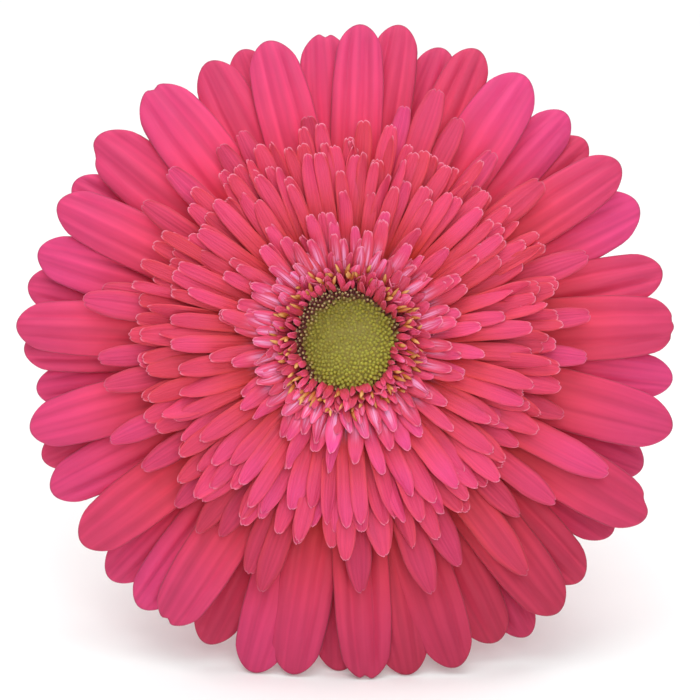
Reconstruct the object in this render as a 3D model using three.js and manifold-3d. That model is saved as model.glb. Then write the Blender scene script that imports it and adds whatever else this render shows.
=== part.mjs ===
// A cut gerbera lying on a table: one semi-double bloom on a leafless stem.
// Millimetres, +Z up. The table is z = 0, the bloom looks towards -Y and a little up, and the
// stem runs away along +Y. The origin is the middle of the flower's outer box, on the table.
//
// The bloom is built in a frame of its own, the head's: x to the right and y up as one faces
// the bloom, z out of the bloom towards the viewer. Directions in the head are clock angles,
// in degrees: 0 is straight up, and they grow clockwise.
import * as THREE from "three";
import { mergeVertices } from "three/addons/utils/BufferGeometryUtils.js";
import Module from "manifold-3d";

// Driving dimensions
const FACE_TILT = 20; // how far the bloom looks up from the horizontal, in degrees
const HEAD_HEIGHT = 56.3; // middle of the bloom above the table
const SEAT_GAP = 0.3; // clearance between two pieces that sit on each other
const BLADE = 0.62; // thickness of a petal

// Outer ray florets, as seen on the flower: clock angle, reach from the middle, width, and
// layer (0 lies on top)
const RAYS = [
  [2.5, 55.3, 8.8, 0],
  [9.5, 56.0, 8.6, 1],
  [18, 53.9, 8.4, 2],
  [24, 55.7, 8.6, 1],
  [33.8, 56.0, 10.8, 0],
  [44, 55.3, 9.0, 1],
  [50, 54.4, 8.6, 2],
  [57, 56.9, 9.4, 0],
  [65, 56.4, 10.8, 1],
  [77.5, 56.4, 9.2, 1],
  [87, 57.6, 11.0, 0],
  [96.8, 57.2, 8.6, 1],
  [105, 58.8, 10.4, 0],
  [113, 56.4, 8.8, 2],
  [120.5, 60.8, 10.4, 0],
  [126, 57.2, 9.0, 2],
  [135.5, 58.5, 9.4, 1],
  [142, 60.2, 10.0, 0],
  [148.5, 60.4, 8.0, 2],
  [153.5, 59.0, 9.4, 1],
  [161.5, 60.2, 9.6, 0],
  [169.5, 59.2, 9.6, 1],
  [176.5, 59.2, 9.6, 0],
  [181.5, 59.3, 9.4, 2],
  [189.5, 59.0, 9.6, 0],
  [196, 60.2, 9.6, 1],
  [205, 58.1, 9.4, 2],
  [212.5, 58.6, 9.8, 0],
  [218, 59.0, 9.0, 1],
  [225, 58.8, 9.0, 2],
  [232.6, 58.3, 10.0, 0],
  [243, 57.9, 9.0, 1],
  [249, 57.2, 8.0, 2],
  [254.3, 57.8, 9.4, 0],
  [261, 54.8, 8.0, 2],
  [268.5, 56.7, 8.6, 1],
  [272.8, 58.1, 9.4, 0],
  [280, 56.7, 9.0, 2],
  [286, 56.2, 9.4, 1],
  [295.5, 56.0, 9.6, 0],
  [300, 55.3, 8.8, 2],
  [309, 56.4, 11.2, 1],
  [322, 56.4, 11.6, 0],
  [333.5, 54.3, 9.6, 1],
  [340, 54.1, 8.4, 2],
  [345, 54.4, 9.8, 0],
  [355.5, 53.9, 9.6, 1],
];
// Per layer of rays: height of the root, of the tip, and of the arch above the line between them
const RAY_LAYERS = [
  { rootZ: -3.4, tipZ: -2.2, arch: 2.1 },
  { rootZ: -4.1, tipZ: -4.6, arch: 1.8 },
  { rootZ: -4.8, tipZ: -7.4, arch: 1.4 },
];
const RAY_ROOT = 8.5; // radius where a ray's root ends inside the hub
const RAY_HUB = { radius: 11.5, low: -5.7, high: -2.5 };
const RAY_PRESS = 4; // most that the table bends a ray's tip forward

// Inner ligules that reach out over the rays: clock angle, reach, width
const LONG_LIGULES = [
  [14, 42.0, 3.2],
  [20, 46.5, 5.0],
  [27, 43.4, 4.2],
  [38, 41.5, 4.2],
  [51, 43.8, 4.8],
  [70.5, 44.4, 4.8],
  [84, 42.5, 3.6],
  [94, 41.8, 3.8],
  [109, 40.0, 3.8],
  [117, 51.0, 5.8],
  [128, 46.0, 4.6],
  [135.5, 42.7, 4.4],
  [142.5, 51.2, 6.2],
  [153.5, 43.8, 5.2],
  [161.5, 46.4, 5.6],
  [177, 43.8, 4.8],
  [199, 46.2, 4.6],
  [203, 44.1, 5.0],
  [213, 40.5, 4.4],
  [218, 42.4, 4.2],
  [226, 41.5, 4.4],
  [238, 42.0, 4.4],
  [247, 44.8, 4.4],
  [259.5, 43.0, 4.4],
  [266, 43.4, 4.0],
  [279, 46.4, 5.0],
  [282, 43.4, 4.2],
  [304, 42.9, 4.0],
  [314, 43.0, 4.2],
  [327, 40.6, 3.8],
  [333, 40.8, 3.8],
  [350, 39.8, 3.8],
];
const LONG_LIGULE = { root: 10.6, rootZ: 0.5, tipZ: 3.2, arch: 1.3 };
// Whorls of shorter inner ligules, from the outside in
const WHORLS = [
  { count: 30, reach: 37.4, root: 10.4, rootZ: 1.2, tipZ: 6.2, arch: 2.0, width: 4.6 },
  { count: 26, reach: 32.6, root: 10.1, rootZ: 2.0, tipZ: 8.6, arch: 2.2, width: 4.4 },
  { count: 22, reach: 27.4, root: 9.8, rootZ: 2.7, tipZ: 10.4, arch: 2.2, width: 4.2 },
  { count: 18, reach: 22.2, root: 9.6, rootZ: 3.3, tipZ: 11.4, arch: 1.8, width: 3.8 },
  { count: 15, reach: 17.4, root: 9.7, rootZ: 3.7, tipZ: 11.8, arch: 1.0, width: 3.4 },
];
// How far a ligule may stray from its place: in share of its step, in reach and in rise
const UNEVEN = { turn: 0.18, reach: 1.6, rise: 0.5 };
const HUB_SIDES = 24;
const LIGULE_HUB = { foot: 10.8, waist: 11.3, waistZ: 0.8, top: 10.2, low: -2.2, high: 4.4 };

// The eye: a dome of closed buds, raised where two families of spiral rows cross. `wind` is how
// far a row turns as its distance from the middle grows, and `core` keeps it finite there.
const EYE = { radius: 8.2, low: 4.7, rim: 6.0, rise: 2.2, bump: 0.32 };
const EYE_ROWS = { left: 13, right: 21, wind: 17, core: 0.25, rings: 10, steps: 63 };

// The open disc florets between the eye and the ligules: a low collar, and the pegs on it by
// stations of [radius, height, half width, share of the peg's own extra height]
const FLORET_RING = { inner: 8.55, outer: 9.4, low: 4.7, high: 6.3, sides: 32 };
const FLORETS = { count: 32, sides: 4, uneven: 0.5, alternate: 0.7, sway: 0.2 };
const FLORET_PEG = [
  [8.95, 5.3, 0.5, 0],
  [9.5, 7.8, 0.62, 0],
  [10.5, 9.6, 0.52, 0.7],
  [11.1, 10.9, 0.3, 1.3],
];

// Green parts
const CUP = { low: -21, high: -6, sides: 20 };
const CUP_PROFILE = [
  [3.4, CUP.low],
  [5.0, -18.8],
  [8.6, -14.5],
  [11.1, -10.2],
  [12.0, CUP.high],
];
const BRACT_THICKNESS = 0.9;
const BRACT_ROWS = [
  { count: 13, root: 5.6, rootZ: -18.4, reach: 13.2, tipZ: -9.8, arch: -0.3, width: 4.0 },
  { count: 16, root: 8.7, rootZ: -13.6, reach: 14.8, tipZ: -6.7, arch: -0.2, width: 4.1 },
];
// Stem: radius at the neck and at the foot, radius of its bend, length that lies on the table,
// angle of the cut, and sideways drift
const STEM = { neck: 2.7, flare: 0.6, foot: 3.3, sides: 12, bend: 260, lying: 80, cut: 30, drift: -7 };

const UP = new THREE.Vector3(0, 0, 1);
const radians = THREE.MathUtils.degToRad;
const sinTilt = Math.sin(radians(FACE_TILT));
const cosTilt = Math.cos(radians(FACE_TILT));

const wasm = await Module();
wasm.setup();

// A seeded random number from -1 to 1, so that the flower is the same each time
let seed = 20517;
function scatter() {
  seed = (seed * 1103515245 + 12345) % 2147483648;
  return (seed / 2147483648) * 2 - 1;
}

function outward(angle) {
  return new THREE.Vector3(Math.sin(radians(angle)), Math.cos(radians(angle)), 0);
}

function solidOf(geometry) {
  const bare = geometry.clone();
  bare.deleteAttribute("normal");
  bare.deleteAttribute("uv");
  const merged = mergeVertices(bare, 1e-4);
  return new wasm.Manifold(
    new wasm.Mesh({
      numProp: 3,
      vertProperties: merged.attributes.position.array,
      triVerts: new Uint32Array(merged.index.array),
    }),
  );
}

function geometryOf(solid) {
  const mesh = solid.getMesh();
  const geometry = new THREE.BufferGeometry();
  const points = new Float32Array(mesh.numVert * 3);
  for (let i = 0; i < mesh.numVert; i++)
    points.set(mesh.vertProperties.subarray(i * mesh.numProp, i * mesh.numProp + 3), i * 3);
  geometry.setAttribute("position", new THREE.BufferAttribute(points, 3));
  geometry.setIndex(new THREE.BufferAttribute(mesh.triVerts, 1));
  return geometry.toNonIndexed();
}

function joined(geometries) {
  return geometryOf(geometries.map(solidOf).reduce((all, next) => all.add(next)));
}

// A solid of revolution about the head's axis, from a profile of [radius, height]
function turned(profile, sides) {
  return new THREE.LatheGeometry(
    profile.map(([r, z]) => new THREE.Vector2(r, z)),
    sides,
  ).rotateX(Math.PI / 2);
}

function meshFrom(points, triangles) {
  const geometry = new THREE.BufferGeometry();
  geometry.setAttribute(
    "position",
    new THREE.Float32BufferAttribute(points.flatMap((p) => [p.x, p.y, p.z]), 3),
  );
  geometry.setIndex(triangles);
  return geometry.toNonIndexed();
}

// A thin blade round a grid of middle points, each with its normal. Both faces are split into
// triangles alike, so that they never cross.
function blade(grid, thickness) {
  const rows = grid.length;
  const columns = grid[0].length;
  const points = [];
  for (const side of [0.5, -0.5])
    for (const row of grid)
      for (const { point, normal } of row)
        points.push(point.clone().addScaledVector(normal, side * thickness));
  const top = (i, j) => i * columns + j;
  const under = (i, j) => rows * columns + top(i, j);
  const triangles = [];
  const quad = (a, b, c, d) => triangles.push(a, b, c, a, c, d);
  for (let i = 0; i < rows - 1; i++) {
    for (let j = 0; j < columns - 1; j++) {
      quad(top(i, j), top(i, j + 1), top(i + 1, j + 1), top(i + 1, j));
      triangles.push(under(i, j), under(i + 1, j + 1), under(i, j + 1));
      triangles.push(under(i, j), under(i + 1, j), under(i + 1, j + 1));
    }
    quad(top(i, 0), top(i + 1, 0), under(i + 1, 0), under(i, 0));
    const last = columns - 1;
    quad(top(i, last), under(i, last), under(i + 1, last), top(i + 1, last));
  }
  for (let j = 0; j < columns - 1; j++) {
    quad(top(0, j), under(0, j), under(0, j + 1), top(0, j + 1));
    const end = rows - 1;
    quad(top(end, j), top(end, j + 1), under(end, j + 1), under(end, j));
  }
  return meshFrom(points, triangles);
}

// The middle surface of a petal: stations run along it as [share of length, share of width],
// and `across` holds the places from one edge, -1, to the other, 1. `cup` lifts the edges.
function petalGrid(petal, stations, across) {
  const out = outward(petal.angle);
  const side = new THREE.Vector3(out.y, -out.x, 0);
  const length = petal.reach - petal.root;
  const fall = petal.tipZ - petal.rootZ;
  return stations.map(([t, share]) => {
    const slope = (fall + 4 * petal.arch * (1 - 2 * t)) / length;
    const normal = UP.clone().addScaledVector(out, -slope).normalize();
    const middle = out
      .clone()
      .multiplyScalar(petal.root + length * t)
      .setZ(petal.rootZ + fall * t + 4 * petal.arch * t * (1 - t));
    return across.map((v) => ({
      point: middle
        .clone()
        .addScaledVector(side, (v * share * petal.width) / 2)
        .addScaledVector(normal, petal.cup * share * v * v),
      normal,
    }));
  });
}

const heightOverTable = (p) => HEAD_HEIGHT + p.y * cosTilt + p.z * sinTilt;

// Outer rays. The table bends the lowest ones forward, and they end where they touch it.
const RAY_STATIONS = [
  [0, 0.22],
  [0.3, 0.6],
  [0.62, 0.96],
  [0.86, 1],
  [0.96, 0.74],
  [1, 0.32],
];

function rayFloret([angle, reach, width, layer]) {
  const { rootZ, tipZ, arch } = RAY_LAYERS[layer];
  const ray = { angle, reach, width, root: RAY_ROOT, rootZ, arch, cup: 0.55 };
  ray.tipZ = tipZ + 0.5 * scatter();
  const bentMost = ray.tipZ + RAY_PRESS;
  const downward = -Math.cos(radians(angle));
  for (let tries = 0; tries < 12; tries++) {
    const made = blade(petalGrid(ray, RAY_STATIONS, [-1, 0, 1]), BLADE);
    const heights = [];
    const place = made.getAttribute("position");
    for (let i = 0; i < place.count; i++)
      heights.push(heightOverTable(new THREE.Vector3().fromBufferAttribute(place, i)));
    const under = -Math.min(...heights);
    if (under < 0.002) return made;
    if (ray.tipZ < bentMost) ray.tipZ = Math.min(ray.tipZ + under / sinTilt, bentMost);
    else ray.reach -= under / (cosTilt * downward);
  }
  throw new Error(`the ray at ${angle} degrees doesn't clear the table`);
}

function rayFlorets() {
  const hub = turned(
    [
      [0, RAY_HUB.low],
      [RAY_HUB.radius, RAY_HUB.low],
      [RAY_HUB.radius, RAY_HUB.high],
      [0, RAY_HUB.high],
    ],
    HUB_SIDES,
  );
  return joined([hub, ...RAYS.map(rayFloret)]);
}

// Inner ligules stand on a low cone and arch outwards in whorls, the inner ones steeper.
const LIGULE_STATIONS = [
  [0, 0.3],
  [0.4, 0.84],
  [0.8, 0.94],
  [1, 0.2],
];

function ligule(petal) {
  return blade(petalGrid({ cup: 0, ...petal }, LIGULE_STATIONS, [-1, 1]), BLADE);
}

function innerLigules() {
  const hub = turned(
    [
      [0, LIGULE_HUB.low],
      [LIGULE_HUB.foot, LIGULE_HUB.low],
      [LIGULE_HUB.waist, LIGULE_HUB.waistZ],
      [LIGULE_HUB.top, LIGULE_HUB.high],
      [0, LIGULE_HUB.high],
    ],
    HUB_SIDES,
  );
  const { turn, reach, rise } = UNEVEN;
  const blades = LONG_LIGULES.map(([angle, length, width]) =>
    ligule({ ...LONG_LIGULE, angle, reach: length, width, tipZ: LONG_LIGULE.tipZ + rise * scatter() }),
  );
  WHORLS.forEach((whorl, ring) => {
    for (let i = 0; i < whorl.count; i++)
      blades.push(
        ligule({
          ...whorl,
          angle: ((i + (ring % 2) / 2 + turn * scatter()) * 360) / whorl.count,
          reach: whorl.reach + reach * scatter(),
          tipZ: whorl.tipZ + rise * scatter(),
        }),
      );
  });
  return joined([hub, ...blades]);
}

// The eye's dome, raised into buds where two families of spirals cross
function eye() {
  const { left, right, wind, core, rings, steps } = EYE_ROWS;
  const points = [new THREE.Vector3(0, 0, EYE.rim + EYE.rise)];
  for (let ring = 1; ring <= rings; ring++) {
    const share = ring / rings;
    for (let step = 0; step < steps; step++) {
      const turn = (2 * Math.PI * step) / steps;
      const spiral = wind * Math.log(core + share);
      const buds = Math.cos(left * turn + spiral) * Math.cos(right * turn - spiral);
      const height = EYE.rim + EYE.rise * (1 - share * share) + EYE.bump * share * buds;
      points.push(
        new THREE.Vector3(Math.cos(turn), Math.sin(turn), 0)
          .multiplyScalar(EYE.radius * share)
          .setZ(height),
      );
    }
  }
  for (let step = 0; step < steps; step++)
    points.push(points[1 + (rings - 1) * steps + step].clone().setZ(EYE.low));
  points.push(new THREE.Vector3(0, 0, EYE.low));
  const triangles = [];
  const at = (ring, step) => 1 + (ring - 1) * steps + (step % steps);
  for (let step = 0; step < steps; step++) {
    triangles.push(0, at(1, step), at(1, step + 1));
    for (let ring = 1; ring <= rings; ring++) {
      triangles.push(at(ring, step), at(ring + 1, step), at(ring + 1, step + 1));
      triangles.push(at(ring, step), at(ring + 1, step + 1), at(ring, step + 1));
    }
    triangles.push(points.length - 1, at(rings + 1, step + 1), at(rings + 1, step));
  }
  return meshFrom(points, triangles);
}

// A tapered peg with few sides, along stations of [radius from the axis, height, half width]
function peg(angle, stations, sides) {
  const out = outward(angle);
  const across = new THREE.Vector3(out.y, -out.x, 0);
  const points = [];
  stations.forEach(([r, z, half], i) => {
    const before = stations[Math.max(i - 1, 0)];
    const after = stations[Math.min(i + 1, stations.length - 1)];
    const run = new THREE.Vector2(after[0] - before[0], after[1] - before[1]).normalize();
    const face = out.clone().multiplyScalar(run.y).setZ(-run.x);
    for (let k = 0; k < sides; k++) {
      const turn = (2 * Math.PI * (k + 0.5)) / sides;
      points.push(
        out
          .clone()
          .multiplyScalar(r)
          .setZ(z)
          .addScaledVector(across, half * Math.cos(turn))
          .addScaledVector(face, half * Math.sin(turn)),
      );
    }
  });
  return meshFrom(points, tubeTriangles(stations.length, sides));
}

// Triangles of a tube through rings of points, with both ends closed
function tubeTriangles(rings, sides) {
  const triangles = [];
  const at = (ring, k) => ring * sides + (k % sides);
  for (let ring = 0; ring < rings - 1; ring++)
    for (let k = 0; k < sides; k++) {
      triangles.push(at(ring, k), at(ring, k + 1), at(ring + 1, k + 1));
      triangles.push(at(ring, k), at(ring + 1, k + 1), at(ring + 1, k));
    }
  for (let k = 1; k < sides - 1; k++) {
    triangles.push(at(0, 0), at(0, k + 1), at(0, k));
    triangles.push(at(rings - 1, 0), at(rings - 1, k), at(rings - 1, k + 1));
  }
  return triangles;
}

function openFlorets() {
  const ring = turned(
    [
      [FLORET_RING.inner, FLORET_RING.low],
      [FLORET_RING.outer, FLORET_RING.low],
      [FLORET_RING.outer, FLORET_RING.high],
      [FLORET_RING.inner, FLORET_RING.high],
      [FLORET_RING.inner, FLORET_RING.low],
    ],
    FLORET_RING.sides,
  );
  const florets = [];
  for (let i = 0; i < FLORETS.count; i++) {
    const tall = FLORETS.uneven * scatter() + FLORETS.alternate * (i % 2);
    const angle = ((i + FLORETS.sway * scatter()) * 360) / FLORETS.count;
    const stations = FLORET_PEG.map(([r, z, half, share]) => [
      r + (share * tall) / 2,
      z + share * tall,
      half,
    ]);
    florets.push(peg(angle, stations, FLORETS.sides));
  }
  return joined([ring, ...florets]);
}

// The involucre: a green cup with two rows of pointed bracts that hug it
const BRACT_STATIONS = [
  [0, 0.5],
  [0.4, 1],
  [0.75, 0.72],
  [1, 0.12],
];

function involucre() {
  const cup = turned([[0, CUP.low], ...CUP_PROFILE, [0, CUP.high]], CUP.sides);
  const bracts = BRACT_ROWS.flatMap((row, rank) =>
    Array.from({ length: row.count }, (_, i) => {
      const bract = {
        ...row,
        angle: ((i + rank / 2 + UNEVEN.turn * scatter()) * 360) / row.count,
        reach: row.reach + scatter() / 2,
        cup: 0,
      };
      return blade(petalGrid(bract, BRACT_STATIONS, [-1, 1]), BRACT_THICKNESS);
    }),
  );
  return joined([cup, ...bracts]);
}

// The stem leaves the head straight back, bends gently to level, and lies on the table, where
// it has drifted a little to the left. It is a loft of rings with a flat underneath, and ends
// in a slanted cut. Its route is worked out in the upright plane: x of a Vector2 is how far
// back, and y how high.
function stem() {
  const apothem = Math.cos(Math.PI / STEM.sides);
  const downstem = new THREE.Vector2(cosTilt, -sinTilt);
  const top = new THREE.Vector2(0, HEAD_HEIGHT).addScaledVector(downstem, SEAT_GAP - CUP.low);
  const bendDrop = STEM.bend * (1 - cosTilt);
  const straight = (top.y - STEM.foot * apothem - bendDrop) / sinTilt;
  const bendStart = top.clone().addScaledVector(downstem, straight);
  const stations = [];
  const station = (y, z, slope, radius, shear = 0) =>
    stations.push({ y, z, slope, radius, shear });
  for (const share of [0, 0.06, 0.2, 0.4, 0.6, 0.8]) {
    const flare = share === 0 ? STEM.flare : 0;
    const radius = THREE.MathUtils.lerp(STEM.neck, STEM.foot, share) + flare;
    const at = top.clone().lerp(bendStart, share);
    station(at.x, at.y, radians(FACE_TILT), radius);
  }
  const bendSteps = 8;
  for (let i = 0; i <= bendSteps; i++) {
    const slope = radians(FACE_TILT) * (1 - i / bendSteps);
    const y = bendStart.x + STEM.bend * (sinTilt - Math.sin(slope));
    const z = STEM.foot * apothem + STEM.bend * (1 - Math.cos(slope));
    station(y, z, slope, STEM.foot);
  }
  const levelStart = stations[stations.length - 1];
  for (const share of [0.33, 0.66, 1]) {
    const shear = share === 1 ? Math.tan(radians(STEM.cut)) : 0;
    station(levelStart.y + STEM.lying * share, levelStart.z, 0, STEM.foot, shear);
  }
  const run = stations[stations.length - 1].y - top.x;
  const points = stations.flatMap(({ y, z, slope, radius, shear }) => {
    const x = (STEM.drift * (1 - Math.cos((Math.PI * (y - top.x)) / run))) / 2;
    return Array.from({ length: STEM.sides }, (_, k) => {
      const turn = (2 * Math.PI * (k + 0.5)) / STEM.sides;
      const rise = radius * Math.cos(turn);
      return new THREE.Vector3(
        x + radius * Math.sin(turn),
        y + rise * (Math.sin(slope) - shear),
        z + rise * Math.cos(slope),
      );
    });
  });
  return meshFrom(points, tubeTriangles(stations.length, STEM.sides));
}

function piece(name, geometry, color, roughness) {
  const material = new THREE.MeshStandardMaterial({ color, roughness, metalness: 0 });
  const mesh = new THREE.Mesh(geometry, material);
  mesh.name = name;
  return mesh;
}

const head = new THREE.Group();
head.rotation.x = radians(90 - FACE_TILT);
head.position.z = HEAD_HEIGHT;
head.add(
  piece("ray_florets", rayFlorets(), 0xe8487f, 0.6),
  piece("inner_ligules", innerLigules(), 0xee4a80, 0.6),
  piece("open_disc_florets", openFlorets(), 0x8a4a2a, 0.7),
  piece("disc_eye", eye(), 0x8f9440, 0.75),
  piece("involucre", involucre(), 0x6f8a45, 0.7),
);

const flower = new THREE.Group();
flower.add(head, piece("stem", stem(), 0x8ba05a, 0.65));

// The origin is set under the middle of the finished flower's box.
flower.updateMatrixWorld(true);
const box = new THREE.Box3().setFromObject(flower, true);
flower.position.set(-(box.min.x + box.max.x) / 2, -(box.min.y + box.max.y) / 2, 0);

export default flower;
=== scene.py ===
# A cut gerbera that lies on a pale table, dressed round its frame. Blender 4.5, metres, +Z up.
#
# The bloom is described in the head's own frame, in millimetres: x to the right and y up as one
# faces the bloom, z out of it towards the viewer. Directions are clock angles in degrees, 0
# straight up and growing clockwise. `to_world` takes head points to the row frame.
from math import cos, exp, pi, radians, sin, sqrt, tan

import bpy
import numpy as np
from mathutils import Matrix, Vector


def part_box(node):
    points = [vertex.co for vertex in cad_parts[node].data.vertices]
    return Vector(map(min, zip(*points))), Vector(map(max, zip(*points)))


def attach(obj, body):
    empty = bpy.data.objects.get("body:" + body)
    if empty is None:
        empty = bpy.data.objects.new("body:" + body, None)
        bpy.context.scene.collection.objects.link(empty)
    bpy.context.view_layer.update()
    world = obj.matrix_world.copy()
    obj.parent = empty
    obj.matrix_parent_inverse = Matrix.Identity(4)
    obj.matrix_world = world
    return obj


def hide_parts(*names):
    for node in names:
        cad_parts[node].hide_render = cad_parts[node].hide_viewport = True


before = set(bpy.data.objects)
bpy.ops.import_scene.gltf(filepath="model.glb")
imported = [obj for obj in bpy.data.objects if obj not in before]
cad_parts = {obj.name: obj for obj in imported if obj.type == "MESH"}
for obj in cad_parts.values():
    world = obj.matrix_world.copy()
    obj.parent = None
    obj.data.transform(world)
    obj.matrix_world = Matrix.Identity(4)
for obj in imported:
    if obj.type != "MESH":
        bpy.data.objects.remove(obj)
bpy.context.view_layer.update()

# Driving sizes, in millimetres and degrees
MM = 0.001
FACE_TILT = 20  # how far up the bloom looks
HEAD_HEIGHT = 56.3  # of the bloom's middle over the table
CUP_LOW = -21  # the cup's lower end, behind the bloom's middle
SEAT_GAP = 0.3  # between the cup and the stem
SEED = 20517

# Outer ray florets, as seen on the flower: clock angle, reach from the middle, width, layer
# (0 lies on top), and how the tip ends if it isn't round
RAYS = [
    (2.5, 55.3, 8.8, 0), (9.5, 56.0, 8.6, 1), (18, 53.9, 8.4, 2),
    (24, 55.7, 8.6, 1), (33.8, 56.0, 10.8, 0), (44, 55.3, 9.0, 1),
    (50, 54.4, 8.6, 2), (57, 56.9, 9.4, 0), (65, 56.4, 10.8, 1),
    (77.5, 56.4, 9.2, 1), (87, 57.6, 11.0, 0, "blunt"), (96.8, 57.2, 8.6, 1),
    (105, 58.8, 10.4, 0), (113, 56.4, 8.8, 2), (120.5, 60.8, 10.4, 0, "shouldered"),
    (126, 57.2, 9.0, 2), (135.5, 58.5, 9.4, 1), (142, 60.2, 10.0, 0),
    (148.5, 60.4, 8.0, 2), (153.5, 59.0, 9.4, 1), (161.5, 60.2, 9.6, 0),
    (169.5, 59.2, 9.6, 1), (176.5, 59.2, 9.6, 0, "notched"), (181.5, 59.3, 9.4, 2),
    (189.5, 59.0, 9.6, 0), (196, 60.2, 9.6, 1), (205, 58.1, 9.4, 2),
    (212.5, 58.6, 9.8, 0, "notched"), (218, 59.0, 9.0, 1), (225, 58.8, 9.0, 2),
    (232.6, 58.3, 10.0, 0), (243, 57.9, 9.0, 1), (249, 57.2, 8.0, 2),
    (254.3, 57.8, 9.4, 0), (261, 54.8, 8.0, 2), (268.5, 56.7, 8.6, 1),
    (272.8, 58.1, 9.4, 0), (280, 56.7, 9.0, 2), (286, 56.2, 9.4, 1),
    (295.5, 56.0, 9.6, 0), (300, 55.3, 8.8, 2), (309, 56.4, 11.2, 1, "shouldered"),
    (322, 56.4, 11.6, 0, "notched"), (333.5, 54.3, 9.6, 1), (340, 54.1, 8.4, 2),
    (345, 54.4, 9.8, 0), (355.5, 53.9, 9.6, 1, "notched"),
]
# Per layer of rays: the piece's name, height of the root and of the tip, and arch between them
RAY_LAYERS = [
    ("ray_petals_upper", -3.4, -2.6, 3.3),
    ("ray_petals_middle", -4.1, -5.0, 2.8),
    ("ray_petals_under", -4.8, -7.6, 2.2),
]
RAY_LONGER = (0.2, 0.5, 0.8)  # makes up for how far behind the middle each layer's tips are
RAY_WIDER = 1.03
RAY_ROOT = 8.5
RAY_PRESS = 4.0  # most that the table bends a ray's tip forward
RAY_TIP, MIDDLING = 5.2, 9.6  # length of the rounded end of a ray of middling width
PRESS_TRIES, TOUCHING = 14, 0.002  # a ray this little under the table rests on it
SHADIEST_RAY = 162  # clock angle at which the painted shade on the rays is deepest

# Inner ligules that reach out over the rays: clock angle, reach, width
LONG_LIGULES = [
    (14, 42.0, 3.2), (20, 46.5, 5.0), (27, 43.4, 4.2), (38, 41.5, 4.2),
    (51, 43.8, 4.8), (70.5, 44.4, 4.8), (84, 42.5, 3.6), (94, 41.8, 3.8),
    (109, 40.0, 3.8), (117, 51.0, 5.8), (128, 46.0, 4.6), (135.5, 42.7, 4.4),
    (142.5, 51.2, 6.2), (153.5, 43.8, 5.2), (161.5, 46.4, 5.6), (177, 43.8, 4.8),
    (199, 46.2, 4.6), (203, 44.1, 5.0), (213, 40.5, 4.4), (218, 42.4, 4.2),
    (226, 41.5, 4.4), (238, 42.0, 4.4), (247, 44.8, 4.4), (259.5, 43.0, 4.4),
    (266, 43.4, 4.0), (279, 46.4, 5.0), (282, 43.4, 4.2), (304, 42.9, 4.0),
    (314, 43.0, 4.2), (327, 40.6, 3.8), (333, 40.8, 3.8), (350, 39.8, 3.8),
]
LONG_LIGULE = dict(root=10.6, root_z=0.3, tip_z=2.1, arch=1.6)
# Whorls of inner ligules, from the outside in: piece, count, least and most reach, root radius,
# height of root and tip, arch, width
WHORLS = [
    ("ligules_outer", 56, 34.5, 38.5, 10.4, 1.2, 5.2, 2.1, 3.9),
    ("ligules_outer", 56, 31.5, 36.0, 10.2, 2.0, 6.4, 2.3, 3.7),
    ("ligules_inner", 50, 28.5, 33.5, 10.0, 3.2, 7.6, 2.5, 3.5),
    ("ligules_inner", 40, 19.5, 24.5, 9.8, 4.6, 9.6, 2.0, 3.0),
    ("ligules_inner", 36, 15.8, 20.0, 9.7, 5.8, 10.6, 1.3, 2.6),
]
# Small narrow ligules that fill in above the eye: count, least and most reach, height of tip
FILLING = [
    (14, 34.0, 39.0, 6.4), (16, 29.0, 34.0, 7.8),
    (12, 24.0, 29.0, 8.8), (18, 16.5, 23.0, 10.4),
]
FILLING_SWING = 86  # degrees that they go to either side of straight up

# Short pink lips of the open florets: count, least and most reach, root radius, height of
# root and tip, width
LIPS = [
    (48, 13.6, 16.8, 10.0, 5.8, 10.6, 1.9),
    (54, 11.6, 14.0, 9.4, 6.0, 10.2, 1.5),
    (60, 9.9, 11.9, 8.4, 6.2, 9.4, 1.15),
]
# The lips close in on the eye, and stand back where they bare the dark ring round it: clock
# angle, spread, how far
LIPS_CLOSE_IN = 0.55
LIP_GAPS = [
    (325, 34, 1.2), (12, 12, 0.6), (74, 15, 1.3),
    (268, 15, 0.8), (228, 12, 0.8), (140, 13, 0.8),
]

# The eye: a dome of closed buds, and round it dark buds, anthers and curls. A foot is where
# they stand, as least radius, how far it spreads outwards, and height.
EYE = dict(radius=8.2, low=4.7, rim=6.6, rise=0.9)
BUD = dict(count=600, radius=0.38, height=0.42, taller=0.55, sunk=0.45, lean=1.3)
BUD_SHIFT, BUD_TILT = 0.09, 0.16  # how uneven the buds' places and directions are
BUD_PROFILE = [(0.8, -0.5), (0.98, 0.1), (1.0, 0.5), (0.8, 0.86), (0.46, 1.1), (0.14, 1.2)]
DARK_BUD = dict(count=120, foot=(8.6, 1.5, 5.7), radius=0.3, height=0.95, ripe=1.3)
ANTHER = dict(count=108, foot=(8.9, 2.8, 7.2), length=3.7, lean=(8, 50), thick=0.26)
# An anther column's thickness at even steps from its foot to its tip
ANTHER_SHAPE = (0.62, 0.66, 0.72, 0.85, 1.1, 1.25, 1.25, 1.1, 0.75, 0.3)
CURL = dict(count=90, foot=(9.8, 4.0, 8.0), size=0.5, turn=(150, 300), thick=0.19)
GOLDEN_ANGLE = 137.50776
SHADED_EYE_SIDE = 135  # degrees counterclockwise from the right: the upper left, where painted shade makes the buds darker green and ripe nearer the middle

# Sides of turned pieces, and points along and across each kind of petal
HEAD_SIDES, DOME_SIDES, BUD_SIDES, ANTHER_SIDES, CURL_SIDES = 64, 48, 8, 8, 6
RAY_GRID, LONG_GRID, WHORL_GRID = (36, 25), (30, 19), (20, 19)
SMALL_GRID, LIP_GRID, BRACT_GRID = (18, 15), (12, 11), (26, 15)
# How far in each kind of petal grows: the mark "inner", which the pink material goes by
RAY_INNER, LONG_INNER, WHORL_INNER, WHORL_STEP = 0.0, 0.05, 0.3, 0.14
CURL_INNER, LIP_INNER = 0.6, 1.0

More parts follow.
